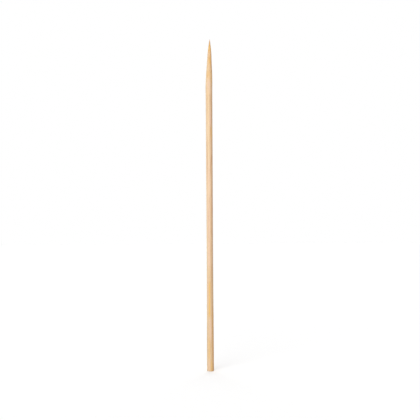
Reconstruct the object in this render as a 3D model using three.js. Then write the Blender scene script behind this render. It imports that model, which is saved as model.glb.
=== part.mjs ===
// A bamboo skewer: one round stick of split bamboo, with a long ground point at one end
// and a square saw cut at the other.
// Millimetres, +Z up. The origin is the centre of the cut butt end, and the tip is at the top.
import * as THREE from "three";

// Lengths along the stick. The plain shaft takes up what the others leave.
const length = 200;
const waistHeight = 70; // the shaft is thinnest here, measured up from the butt
const collarLength = 8; // the shaft swells a little over this stretch, just below the point
const flankLength = 17.4; // the point's long lower taper, up from the shoulder
const noseLength = 7; // the second, blunter taper above it
const coneLength = 5; // the sharp last stretch
const endChamfer = 0.25; // the broken edge round the saw cut

// Diameters, from the butt to the tip.
const buttDiameter = 4.13;
const waistDiameter = 3.84;
const collarDiameter = 3.97;
const shoulderDiameter = 4.06;
const neckDiameter = 2.59;
const coneDiameter = 1.57;
const tipDiameter = 0.24;

// How fast the point thins as it rises, in millimetres of diameter for each millimetre of height.
const flankTaper = 0.13; // at the flank's upper end
const neckTaper = 0.05; // at the nose's lower end
const noseTaper = 0.22; // at the nose's upper end

// The stick was ground a little off its own axis, so the tip lies this far over, towards +X.
const tipOffset = 0.58;

// How finely the round forms are drawn.
const sides = 40;
const steps = { shaft: 12, collar: 4, flank: 14, nose: 8, cone: 4, tip: 4 };

const bambooColour = 0xe6bf8b;

// The stations of the outline, from the butt to the tip: height above the saw cut, and diameter.
const pointLength = flankLength + noseLength + coneLength;
const tipRadius = tipDiameter / 2;
const butt = { height: endChamfer, diameter: buttDiameter };
const waist = { height: waistHeight, diameter: waistDiameter };
const collar = { height: length - pointLength - collarLength, diameter: collarDiameter };
const shoulder = { height: length - pointLength, diameter: shoulderDiameter };
const neck = { height: length - coneLength - noseLength, diameter: neckDiameter };
const cone = { height: length - coneLength, diameter: coneDiameter };
const tip = { height: length - tipRadius, diameter: tipDiameter };

// A point of the outline.
function at(diameter, height) {
  return new THREE.Vector2(diameter / 2, height);
}

// A smooth stretch from one station to the next, without its first point. A taper is how fast the
// stick thins at that end of the stretch.
function stretch(from, to, count, fromTaper = 0, toTaper = 0) {
  const third = (to.height - from.height) / 3;
  const curve = new THREE.CubicBezierCurve(
    at(from.diameter, from.height),
    at(from.diameter - fromTaper * third, from.height + third),
    at(to.diameter + toTaper * third, to.height - third),
    at(to.diameter, to.height),
  );
  return curve.getPoints(count).slice(1);
}

// The saw cut: flat from the axis to a small chamfer.
function buttOutline() {
  return [at(0, 0), at(buttDiameter - 2 * endChamfer, 0), at(buttDiameter, endChamfer)];
}

// The shaft: slimmest at the waist, and swelling a little where the point begins.
function shaftOutline() {
  return [
    ...stretch(butt, waist, steps.shaft),
    ...stretch(waist, collar, steps.shaft),
    ...stretch(collar, shoulder, steps.collar),
  ];
}

// The point, ground in two passes that meet at the neck, with a sharp cone and a tip rounded by handling.
function pointOutline() {
  const coneTaper = (cone.diameter - tip.diameter) / (tip.height - cone.height);
  const rounded = new THREE.EllipseCurve(0, tip.height, tipRadius, tipRadius, 0, Math.PI / 2);
  return [
    ...stretch(shoulder, neck, steps.flank, 0, flankTaper),
    ...stretch(neck, cone, steps.nose, neckTaper, noseTaper),
    ...stretch(cone, tip, steps.cone, coneTaper, coneTaper),
    ...rounded.getPoints(steps.tip).slice(1, -1),
    at(0, length),
  ];
}

// Carries the point over towards +X, by nothing at the shoulder and by all of tipOffset at the tip.
function leanPoint(geometry) {
  const position = geometry.getAttribute("position");
  for (let i = 0; i < position.count; i++) {
    const share = Math.max(0, (position.getZ(i) - shoulder.height) / pointLength);
    position.setX(i, position.getX(i) + tipOffset * share);
  }
  position.needsUpdate = true;
}

function skewerGeometry() {
  const outline = [...buttOutline(), ...shaftOutline(), ...pointOutline()];
  const geometry = new THREE.LatheGeometry(outline, sides);
  geometry.rotateX(Math.PI / 2); // the lathe turns about Y, and the stick stands along Z
  leanPoint(geometry);
  return geometry;
}

const bamboo = new THREE.MeshStandardMaterial({
  name: "bamboo",
  color: bambooColour,
  roughness: 0.6,
  metalness: 0,
});

const skewer = new THREE.Mesh(skewerGeometry(), bamboo);
skewer.name = "skewer";

const model = new THREE.Group();
model.name = "bamboo_skewer";
model.add(skewer);

export default model;
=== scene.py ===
import math

import bpy
import numpy as np
from mathutils import Matrix, Vector


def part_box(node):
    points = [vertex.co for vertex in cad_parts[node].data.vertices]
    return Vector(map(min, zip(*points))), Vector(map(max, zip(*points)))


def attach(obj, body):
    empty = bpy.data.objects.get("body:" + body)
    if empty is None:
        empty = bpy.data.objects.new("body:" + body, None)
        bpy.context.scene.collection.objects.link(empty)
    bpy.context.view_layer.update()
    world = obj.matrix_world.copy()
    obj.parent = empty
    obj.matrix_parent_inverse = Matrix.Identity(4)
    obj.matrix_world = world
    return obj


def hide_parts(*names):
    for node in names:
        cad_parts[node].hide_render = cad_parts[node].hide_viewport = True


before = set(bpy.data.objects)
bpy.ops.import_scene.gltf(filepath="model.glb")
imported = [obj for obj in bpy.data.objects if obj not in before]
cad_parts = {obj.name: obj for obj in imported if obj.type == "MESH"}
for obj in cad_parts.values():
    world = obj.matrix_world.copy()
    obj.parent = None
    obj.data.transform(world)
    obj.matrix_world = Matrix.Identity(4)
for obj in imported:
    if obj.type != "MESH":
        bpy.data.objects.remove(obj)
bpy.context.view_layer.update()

MM = 0.001  # every size below that is times MM is in millimetres
FULL_TURN = 2 * math.pi

# How finely the skewer's surface is drawn.
SIDES = 192
SHAFT_PITCH = 0.56 * MM
POINT_PITCH = 0.27 * MM
FACE_RINGS = 18  # across the sawn butt
ARRIS_RINGS = 6  # round its broken edge
POINT_LENGTH = 31 * MM  # the ground point, with the first of the shaft below it
FACE_ZONE = 1 * MM  # the lowest stretch, where a surface that looks down is the saw cut

# The wall of the bamboo culm: strands of dark fibre in pale pith, closer together towards the
# culm's skin, which was on the +X side of this stick.
SEED = 8
WALL_REACH = 3.0 * MM  # half the square that the strands are planted in
STRAND_TRIES = 6000
STRAND_RADIUS = 0.17 * MM
STRAND_SIZES = (0.75, 1.25)  # the thinnest and the thickest strand, as shares of that
STRAND_TONES = (0.35, 1.0)  # the palest and the darkest
STRAND_SPACING = {"inner": 0.62 * MM, "outer": 0.38 * MM}
STRAND_EDGE = (0.55, 1.05)  # where a strand begins to fade and ends, in shares of its radius
VESSEL_EDGE = (0.15, 0.45)  # and the open tube in its middle
DRIFT = 0.34 * MM  # how far the strands wander across the stick on their way up it
DRIFT_WAVE = 150 * MM
DRIFT_START = 0.6  # radians, at the butt
DRIFT_RATIO = 1.7  # how much faster they wander towards the back than aside
WANDER = 0.07 * MM  # and how far each strays by itself
WANDER_WAVE = 46 * MM

# Relief of the surface.
STRAND_RISE = 0.016 * MM  # hard fibre stands proud of the pith
VESSEL_GROOVE = 0.034 * MM  # the open tubes in the middle of a strand
RIPPLE = 0.013 * MM  # what the cutter left along the stick
RIPPLE_WAVES = ((0.6, 38, 9), (0.4, 90, 26))  # share, waves round the stick and waves along it
RAGGED_WAVES = (64, 30)  # waves of the noise that makes the marks' ends uneven
SAW_DEPTH = 0.05 * MM  # pith torn back by the saw
SAW_PITCH = 0.31 * MM  # between the lines that its teeth left across the cut
SAW_SLANT = 0.2  # of those lines, off the X axis
SAW_TEETH = 0.3  # the share of the depth that comes and goes with them
FIBRE_HOLDS = 0.7  # how much less a strand is torn back than the pith
THIN = (0.1 * MM, 0.8 * MM)  # radii over which the relief dies away towards the tip

# Places in the photograph, in pixels of its 420 x 420 frame.
PHOTO_SIZE = 420
TIP_PIXEL = (208.68, 39.50)
BUTT_PIXEL = (210.54, 370.80)
LENS = 60  # near enough to show the butt's near rim a little lower than its sides
SENSOR = 36

# The light, as shares of the light that shows a colour just as it is written.
AMBIENT = 0.45
KEY = {"share": 0.525, "side": 25, "rise": 24, "spread": 40}  # degrees left of the camera, and up
FILL = {"share": 0.38, "side": 178, "rise": 30, "spread": 60}
FLOOR_HALF = 1.6
FLOOR_WHITE = 0.8
FLOOR_LIFT = 0.325  # the floor's own glow, which makes it white


def srgb(red, green, blue):
    """A colour as it is seen, 0 to 255, as the linear colour that Blender works in."""
    shares = [value / 255 for value in (red, green, blue)]
    linear = [s / 12.92 if s <= 0.04045 else ((s + 0.055) / 1.055) ** 2.4 for s in shares]
    return (*linear, 1.0)


STRAW = srgb(244, 213, 172)
PITH = srgb(250, 223, 187)
FIBRE = srgb(211, 160, 109)
VESSEL = srgb(158, 106, 62)
YELLOW = srgb(237, 187, 95)
PINK = srgb(243, 205, 182)
BROWN = srgb(210, 149, 95)
TAN = srgb(219, 186, 142)
SAWN = srgb(222, 190, 146)

# The material's noises: how wide and how long a feature is, and how much finer detail it carries.
FIBRES = (0.12 * MM, 12 * MM, 3.0)
HAIRS = (0.045 * MM, 4 * MM, 2.0)
FLECKS = (0.06 * MM, 1.3 * MM, 1.0)
CLOUDS = (1.1 * MM, 26 * MM, 1.0)

# Over which of a noise's values, from 0 to 1, each look comes in.
CLOUD_RANGE = (0.35, 0.65)
FIBRE_RANGE = (0.48, 0.66)
HAIR_RANGE = (0.52, 0.66)
STREAK_RANGE = (0.15, 0.60)
BROKEN_RANGE = (0.35, 0.60)
FLECK_RANGE = (0.66, 0.74)

# How strongly each thing tints the pith.
FIBRE_SHARE = 0.36
HAIR_SHARE = 0.30
STRAND_SHARE = 0.75
SKIN_AND_SHADE_SHARE = 0.40
LOW_SHARE = 0.58
VESSEL_SHARE = 0.80
FLECK_SHARE = 0.50
PORE_SHARE = 0.80
SAWN_SHARE = 0.85

# The +X side, where the culm's skin was, is browner: partly the skin's own colour and partly painted shade
# on the side that faces away from the key light. The lower part of the stick is more tan.
SKIN_AND_SHADE_RANGE = (-0.2, 0.85)  # sine of the angle round the stick
LOW_RANGE = (15 * MM, 115 * MM)

ROUGHNESS = (0.42, 0.62)
REFRACTION = 1.45
BUMP_STRENGTH = 0.9
BUMP_HEIGHT = 0.04 * MM
BUMP_FIBRES = 0.6  # the rest of the bump is hairs

# Marks that the eye picks out along the side that faces the camera. Each has its colour, the heights
# that it runs between in mm above the butt, its angle round the stick, where 0 faces the camera and
# positive is to its right, its half width in degrees, and its strength.
ALL_ROUND = 400  # so wide that it hardly fades on the far side
MARKS = [
    ("brown", 197.5, 200.5, 0, ALL_ROUND, 0.75),  # the handled tip
    ("yellow", 192.8, 198.2, 10, ALL_ROUND, 1.0),  # burnished nose
    ("brown", 184.0, 196.0, 0, ALL_ROUND, 0.12),
    ("pink", 190.2, 192.4, -15, 45, 0.9),
    ("yellow", 185.0, 190.2, 12, 55, 0.85),
    ("brown", 185.0, 193.0, 60, 35, 0.7),
    ("pink", 182.0, 185.5, 12, 30, 0.3),
    ("yellow", 176.5, 181.0, -15, 60, 0.6),
    ("yellow", 174.0, 182.5, 48, 24, 0.45),
    ("pink", 169.0, 179.0, -8, 28, 0.6),
    ("yellow", 169.0, 188.0, -62, 26, 0.3),
    ("yellow", 146.0, 170.0, -17, 20, 0.2),
    ("pink", 148.0, 156.0, 22, 22, 0.6),
    ("yellow", 141.0, 147.0, 40, 24, 0.5),
    ("brown", 126.0, 129.0, 52, 18, 0.5),
    ("pink", 102.0, 126.0, -14, 20, 0.6),
    ("brown", 96.0, 99.5, 50, 20, 0.45),
    ("pink", 63.0, 101.0, -16, 18, 0.8),
    ("pink", 62.0, 110.0, 62, 20, 0.3),
    ("yellow", 33.0, 53.0, -12, 17, 0.85),
    ("pink", 42.0, 56.0, -38, 18, 0.5),
    ("pink", 19.0, 31.0, 8, 26, 0.5),
    ("yellow", 9.0, 18.5, -20, 17, 0.45),
    ("yellow", 0.0, 6.0, 26, 24, 0.65),
    ("yellow", -4.0, 36.0, 66, 26, 1.0),
    ("brown", -4.0, 38.0, 66, 26, 0.7),
    ("pink", 0.5, 5.5, -24, 20, 0.45),
]

MARK_FADE = 3.0 * MM  # how softly a mark begins and ends along the stick
MARK_RAGGED = 2.2 * MM  # how uneven its ends are

# The marks of the far side, in the same units, each somewhere between these limits.
FAR_COLOURS = ("pink", "yellow", "brown", "pink", "yellow") * 4
FAR_HEIGHTS = (4, 178)
FAR_LENGTHS = (3, 26)
FAR_ANGLES = (105, 255)
FAR_WIDTHS = (14, 26)
FAR_STRENGTHS = (0.3, 0.6)


def smooth(low, high, value):
    """0 below low, 1 above high, and a soft step between them."""
    share = np.clip((value - low) / (high - low), 0, 1)
    return share * share * (3 - 2 * share)


def outline_of(node):
    """The CAD solid's rings, from the butt up: their heights, radii and how far over they lie."""
    points = np.array([vertex.co for vertex in node.data.vertices])
    heights = np.unique(points[:, 2].round(7))
    radii, offsets = [], []
    for height in heights:
        across = points[np.abs(points[:, 2] - height) < 1e-6, 0]
        radii.append((across.max() - across.min()) / 2)
        offsets.append((across.max() + across.min()) / 2)
    return heights, np.array(radii), np.array(offsets)


def profile():
    """Points of the fine outline, from the middle of the sawn butt to the tip: radius, height and offset."""
    heights, radii, offsets = outline_of(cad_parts["skewer"])
    rim, arris = radii[0], heights[1]
    face = np.linspace(0, rim, FACE_RINGS + 1)
    turn = np.linspace(0, math.pi / 2, ARRIS_RINGS + 1)[1:]
    edge_radii = rim + (radii[1] - rim) * np.sin(turn)
    edge_heights = arris * (1 - np.cos(turn))
    top = heights[-1]
    shaft = np.arange(arris + SHAFT_PITCH, top - POINT_LENGTH, SHAFT_PITCH)
    point = np.linspace(top - POINT_LENGTH, heights[-2], round(POINT_LENGTH / POINT_PITCH))
    side = np.concatenate([shaft, point])
    radius = np.concatenate([face, edge_radii, np.interp(side, heights, radii), [0]])
    height = np.concatenate([0 * face, edge_heights, side, [top]])
    return radius, height, np.interp(height, heights, offsets)


def random_field(rng, rings, across, along):
    """Smooth noise over the stick, from -1 to 1, with this many waves round it and along it."""
    knots = rng.uniform(-1, 1, (along + 2, across))
    row = np.linspace(0, along, rings)
    column = np.arange(SIDES) * across / SIDES
    low, left = row.astype(int), column.astype(int)
    right = (left + 1) % across
    up = smooth(0, 1, row - low)[:, None]
    aside = smooth(0, 1, column - left)[None, :]
    lower = knots[low][:, left] * (1 - aside) + knots[low][:, right] * aside
    upper = knots[low + 1][:, left] * (1 - aside) + knots[low + 1][:, right] * aside
    return lower * (1 - up) + upper * up


def plant_strands(rng):
    """Where the strands run in the culm's wall, as points in the stick's cross-section."""
    inner, outer = STRAND_SPACING["inner"], STRAND_SPACING["outer"]
    found = []
    for _ in range(STRAND_TRIES):
        place = rng.uniform(-WALL_REACH, WALL_REACH, 2)
        spacing = inner + (outer - inner) * (place[0] / WALL_REACH + 1) / 2
        if all(math.hypot(*(place - other)) > spacing for other in found):
            found.append(place)
    return np.array(found)


def grain(rng, points):
    """How far each point lies in a strand and in its vessel, from 0 to 1, and the strand's own darkness."""
    strands = plant_strands(rng)
    phases = rng.uniform(0, FULL_TURN, (len(strands), 2))
    sizes = rng.uniform(*STRAND_SIZES, len(strands)) * STRAND_RADIUS
    darkness = rng.uniform(*STRAND_TONES, len(strands))
    height = points[:, 2]
    turn = FULL_TURN * height / DRIFT_WAVE
    drift = DRIFT * np.stack([np.sin(turn + DRIFT_START), np.cos(DRIFT_RATIO * turn)], axis=1)
    strand = np.zeros(len(points))
    vessel = np.zeros(len(points))
    tone = np.zeros(len(points))
    for place, phase, size, dark in zip(strands, phases, sizes, darkness):
        sway = FULL_TURN * height[:, None] / WANDER_WAVE + phase
        centre = place + drift + WANDER * np.sin(sway)
        distance = np.hypot(*(points[:, :2] - centre).T) / size
        here = 1 - smooth(*STRAND_EDGE, distance)
        tone = np.where(here > strand, dark, tone)
        strand = np.maximum(strand, here)
        vessel = np.maximum(vessel, 1 - smooth(*VESSEL_EDGE, distance))
    return strand, vessel, tone


def far_marks(rng):
    """Marks of the same kinds on the side of the stick that faces away."""
    found = []
    for colour in FAR_COLOURS:
        low = rng.uniform(*FAR_HEIGHTS)
        high = low + rng.uniform(*FAR_LENGTHS)
        middle = rng.uniform(*FAR_ANGLES)
        half_width = rng.uniform(*FAR_WIDTHS)
        found.append((colour, low, high, middle, half_width, rng.uniform(*FAR_STRENGTHS)))
    return found


def marks(kind, plan, angle, height, ragged):
    """How strongly the marks of one colour show at each point."""
    total = np.zeros_like(height)
    for colour, low, high, middle, half_width, strength in plan:
        if colour != kind:
            continue
        start, end = low * MM, high * MM
        edge = height + MARK_RAGGED * ragged
        along = smooth(start - MARK_FADE, start + MARK_FADE / 2, edge)
        along = along * (1 - smooth(end - MARK_FADE / 2, end + MARK_FADE, edge))
        away = (angle - math.radians(middle) + math.pi) % FULL_TURN - math.pi
        across = np.exp(-((away / math.radians(half_width)) ** 2))
        total = np.maximum(total, strength * along * across)
    return total


def outline_normal(radius, height):
    """Which way the outline faces at each ring: outwards, and upwards."""
    slope_r, slope_z = np.gradient(radius), np.gradient(height)
    steep = np.hypot(slope_r, slope_z)
    return slope_z / steep, -slope_r / steep


def relief(base, radius, height, sawn, strand, vessel, ripple):
    """How far the surface stands out from the plain outline, along the outline's normal."""
    room = np.where(height < FACE_ZONE, 1, smooth(*THIN, radius))[:, None]
    side = STRAND_RISE * strand - VESSEL_GROOVE * vessel + RIPPLE * ripple
    teeth = np.sin(FULL_TURN * (base[:, :, 1] + SAW_SLANT * base[:, :, 0]) / SAW_PITCH)
    torn = SAW_DEPTH * (1 - FIBRE_HOLDS * strand) * (1 - SAW_TEETH + SAW_TEETH * teeth)
    face = -torn - VESSEL_GROOVE * vessel
    return room * (side * (1 - sawn) + face * sawn)


def closed_mesh(points):
    """One closed mesh through the rings. The first and last rings are single points."""
    rings = len(points)
    inner = points[1:-1].reshape(-1, 3)
    vertices = np.concatenate([points[:1, 0], inner, points[-1:, 0]])
    last = len(vertices) - 1
    side = np.arange(SIDES)
    after = (side + 1) % SIDES
    faces = [(0, 1 + b, 1 + a) for a, b in zip(side, after)]
    for ring in range(rings - 3):
        low, high = 1 + ring * SIDES, 1 + (ring + 1) * SIDES
        faces += [(low + a, low + b, high + b, high + a) for a, b in zip(side, after)]
    top = 1 + (rings - 3) * SIDES
    faces += [(top + a, top + b, last) for a, b in zip(side, after)]
    mesh = bpy.data.meshes.new("bamboo_skewer")
    mesh.from_pydata(vertices.tolist(), [], [tuple(int(i) for i in face) for face in faces])
    mesh.shade_smooth()
    return mesh


def add_field(mesh, name, field):
    """Keeps a number for each vertex, which the material reads by its name."""
    values = np.concatenate([field[:1, 0], field[1:-1].ravel(), field[-1:, 0]])
    attribute = mesh.attributes.new(name, "FLOAT", "POINT")
    attribute.data.foreach_set("value", values.astype(np.float32))


def build_skewer():
    """The stick as one closed mesh, with the grain's relief, and its colours as attributes."""
    rng = np.random.default_rng(SEED)
    radius, height, offset = profile()
    grid = (len(radius), SIDES)
    angle = np.broadcast_to(np.arange(SIDES) * FULL_TURN / SIDES, grid)
    out = np.stack([np.sin(angle), -np.cos(angle), 0 * angle], axis=2)
    base = out * radius[:, None, None]
    base[:, :, 0] += offset[:, None]
    base[:, :, 2] += height[:, None]
    strand, vessel, tone = (field.reshape(grid) for field in grain(rng, base.reshape(-1, 3)))
    ragged = random_field(rng, len(radius), *RAGGED_WAVES)
    ripple = sum(share * random_field(rng, len(radius), *waves) for share, *waves in RIPPLE_WAVES)

    outwards, upwards = outline_normal(radius, height)
    sawn = np.clip(-upwards, 0, 1)[:, None] * (height < FACE_ZONE)[:, None]
    moved_by = relief(base, radius, height, sawn, strand, vessel, ripple)
    points = base + out * (moved_by * outwards[:, None])[:, :, None]
    points[:, :, 2] += moved_by * upwards[:, None]
    mesh = closed_mesh(points)

    tall = np.broadcast_to(height[:, None], grid)
    front = (angle + math.pi) % FULL_TURN - math.pi
    fields = {
        "strand": strand,
        "vessel": vessel,
        "tone": tone,
        "sawn": np.broadcast_to(sawn, grid),
        # painted shade: browner towards +X, the side away from the key light, which is also where the culm's
        # skin was
        "skin_and_shade": smooth(*SKIN_AND_SHADE_RANGE, np.sin(angle)),
        "low": 1 - smooth(*LOW_RANGE, tall),
    }
    plan = MARKS + far_marks(rng)
    for kind in ("yellow", "pink", "brown"):
        fields[kind] = marks(kind, plan, front, tall, ragged)
    for name, field in fields.items():
        add_field(mesh, name, field)
    skewer = bpy.data.objects.new("bamboo_skewer", mesh)
    bpy.context.scene.collection.objects.link(skewer)
    return skewer


class Nodes:
    """A material's node tree, with short ways to add the nodes that are used here."""

    def __init__(self, material):
        material.use_nodes = True
        self.tree = material.node_tree
        self.tree.nodes.clear()

    def add(self, kind, inputs=None, **settings):
        node = self.tree.nodes.new(kind)
        for name, value in settings.items():
            setattr(node, name, value)
        for name, value in (inputs or {}).items():
            if isinstance(value, bpy.types.NodeSocket):
                self.tree.links.new(value, node.inputs[name])
            else:
                node.inputs[name].default_value = value
        return node

    def attribute(self, name):
        return self.add("ShaderNodeAttribute", attribute_name=name).outputs["Fac"]

    def math(self, operation, first, second):
        return self.add("ShaderNodeMath", {0: first, 1: second}, operation=operation).outputs[0]

    def ramp(self, value, limits):
        """0 where value is low, 1 where it is high."""
        inputs = {"Value": value, "From Min": limits[0], "From Max": limits[1]}
        return self.add("ShaderNodeMapRange", inputs, interpolation_type="SMOOTHSTEP").outputs[0]

    def noise(self, across, along, detail):
        """Noise in features this wide and this long, from 0 to 1."""
        place = self.add("ShaderNodeTexCoord").outputs["Object"]
        scale = (1 / across, 1 / across, 1 / along)
        stretched = self.add("ShaderNodeMapping", {"Vector": place, "Scale": scale})
        inputs = {"Vector": stretched.outputs[0], "Scale": 1.0, "Detail": detail}
        return self.add("ShaderNodeTexNoise", inputs).outputs["Fac"]

    def mix(self, share, first, second):
        inputs = {0: share, 6: first, 7: second}
        return self.add("ShaderNodeMix", inputs, data_type="RGBA").outputs[2]

    def tint(self, colour, where, strength, tint):
        """The colour, with some of the tint in it where the first number is high."""
        return self.mix(self.math("MULTIPLY", where, strength), colour, tint)


def bamboo_material():
    """Split bamboo, scraped round: pale pith with tan strands, fine fibre and a soft sheen."""
    material = bpy.data.materials.new("bamboo")
    n = Nodes(material)
    fibres = n.noise(*FIBRES)
    hairs = n.noise(*HAIRS)
    flecks = n.noise(*FLECKS)
    clouds = n.noise(*CLOUDS)

    colour = n.mix(n.ramp(clouds, CLOUD_RANGE), STRAW, PITH)
    colour = n.tint(colour, n.ramp(fibres, FIBRE_RANGE), FIBRE_SHARE, FIBRE)
    colour = n.tint(colour, n.ramp(hairs, HAIR_RANGE), HAIR_SHARE, FIBRE)
    shade = n.math("MULTIPLY", n.attribute("strand"), n.attribute("tone"))
    colour = n.tint(colour, shade, STRAND_SHARE, FIBRE)
    # painted shade, with the culm's skin colour: browner on the +X side, which faces away from the key light
    colour = n.tint(colour, n.attribute("skin_and_shade"), SKIN_AND_SHADE_SHARE, BROWN)
    colour = n.tint(colour, n.attribute("low"), LOW_SHARE, TAN)
    for kind, shown in (("pink", PINK), ("yellow", YELLOW), ("brown", BROWN)):
        colour = n.tint(colour, n.attribute(kind), n.ramp(fibres, STREAK_RANGE), shown)
    broken = n.math("MULTIPLY", n.attribute("vessel"), n.ramp(hairs, BROKEN_RANGE))
    colour = n.tint(colour, broken, VESSEL_SHARE, VESSEL)
    colour = n.tint(colour, n.ramp(flecks, FLECK_RANGE), FLECK_SHARE, VESSEL)
    pores = n.tint(SAWN, n.attribute("strand"), PORE_SHARE, BROWN)
    pores = n.mix(n.attribute("vessel"), pores, VESSEL)
    colour = n.tint(colour, n.attribute("sawn"), SAWN_SHARE, pores)

    low, high = ROUGHNESS
    rough = n.add("ShaderNodeMapRange", {"Value": fibres, "To Min": low, "To Max": high})
    coarse = n.math("MULTIPLY", fibres, BUMP_FIBRES)
    height = n.math("ADD", coarse, n.math("MULTIPLY", hairs, 1 - BUMP_FIBRES))
    inputs = {"Height": height, "Strength": BUMP_STRENGTH, "Distance": BUMP_HEIGHT}
    bump = n.add("ShaderNodeBump", inputs)
    surface = {
        "Base Color": colour,
        "Roughness": rough.outputs[0],
        "Normal": bump.outputs[0],
        "IOR": REFRACTION,
    }
    shader = n.add("ShaderNodeBsdfPrincipled", surface)
    n.add("ShaderNodeOutputMaterial", {"Surface": shader.outputs[0]})
    return material


def seen_directly(n):
    """1 for what the camera sees, straight or in a reflection, and 0 for what only gives light."""
    path = n.add("ShaderNodeLightPath").outputs
    either = n.math("MAXIMUM", path["Is Camera Ray"], path["Is Glossy Ray"])
    return n.math("MAXIMUM", either, path["Is Transmission Ray"])


def make_floor():
    """A white floor that keeps the skewer's shadow, and glows enough to show as plain white elsewhere."""
    half = FLOOR_HALF
    corners = [(-half, -half, 0), (half, -half, 0), (half, half, 0), (-half, half, 0)]
    mesh = bpy.data.meshes.new("floor")
    mesh.from_pydata(corners, [], [(0, 1, 2, 3)])
    floor = bpy.data.objects.new("floor", mesh)
    bpy.context.scene.collection.objects.link(floor)
    material = bpy.data.materials.new("white_floor")
    n = Nodes(material)
    matt = n.add("ShaderNodeBsdfDiffuse", {"Color": (FLOOR_WHITE, FLOOR_WHITE, FLOOR_WHITE, 1)})
    lift = n.math("MULTIPLY", seen_directly(n), FLOOR_LIFT)
    glow = n.add("ShaderNodeEmission", {"Color": (1, 1, 1, 1), "Strength": lift})
    both = n.add("ShaderNodeAddShader", {0: matt.outputs[0], 1: glow.outputs[0]})
    n.add("ShaderNodeOutputMaterial", {"Surface": both.outputs[0]})
    mesh.materials.append(material)


def make_world():
    """White to look at, and an even, dimmer light on the skewer."""
    world = bpy.data.worlds.new("studio")
    bpy.context.scene.world = world
    n = Nodes(world)
    share = n.math("MULTIPLY", seen_directly(n), 1 - AMBIENT)
    strength = n.math("ADD", share, AMBIENT)
    background = n.add("ShaderNodeBackground", {"Color": (1, 1, 1, 1), "Strength": strength})
    n.add("ShaderNodeOutputWorld", {"Surface": background.outputs[0]})


def make_light(name, plan):
    """A broad, soft light from far away."""
    light = bpy.data.lights.new(name, "SUN")
    light.angle = math.radians(plan["spread"])
    light.energy = plan["share"] * math.pi
    lamp = bpy.data.objects.new(name, light)
    side, rise = math.radians(plan["side"]), math.radians(plan["rise"])
    towards = Vector((-math.sin(side) * math.cos(rise), -math.cos(side) * math.cos(rise), math.sin(rise)))
    lamp.rotation_euler = towards.to_track_quat("Z", "Y").to_euler()
    bpy.context.scene.collection.objects.link(lamp)


def make_camera():
    """A level camera that sees the stick where and as large as the photograph does."""
    length = (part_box("skewer")[1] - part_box("skewer")[0]).z
    stick = Vector((TIP_PIXEL[0] - BUTT_PIXEL[0], BUTT_PIXEL[1] - TIP_PIXEL[1]))
    per_pixel = length / stick.length
    up = stick.normalized()
    middle = Vector((PHOTO_SIZE / 2 - BUTT_PIXEL[0], BUTT_PIXEL[1] - PHOTO_SIZE / 2))
    height = middle.dot(up) * per_pixel
    aside = (middle.x * up.y - middle.y * up.x) * per_pixel
    data = bpy.data.cameras.new("camera")
    data.lens = LENS
    data.sensor_width = SENSOR
    distance = PHOTO_SIZE * per_pixel * data.lens / data.sensor_width
    camera = bpy.data.objects.new("camera", data)
    lean = math.atan2(up.x, up.y)
    level = Matrix.Rotation(math.pi / 2, 4, "X")
    roll = Matrix.Rotation(lean, 4, "Z")
    camera.matrix_world = Matrix.Translation((aside, -distance, height)) @ level @ roll
    bpy.context.scene.collection.objects.link(camera)
    bpy.context.scene.camera = camera


bpy.context.scene.view_settings.view_transform = "Standard"
make_camera()
skewer = build_skewer()
skewer.data.materials.append(bamboo_material())
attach(skewer, "root")
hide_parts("skewer")
make_floor()
make_world()
make_light("key", KEY)
make_light("fill", FILL)
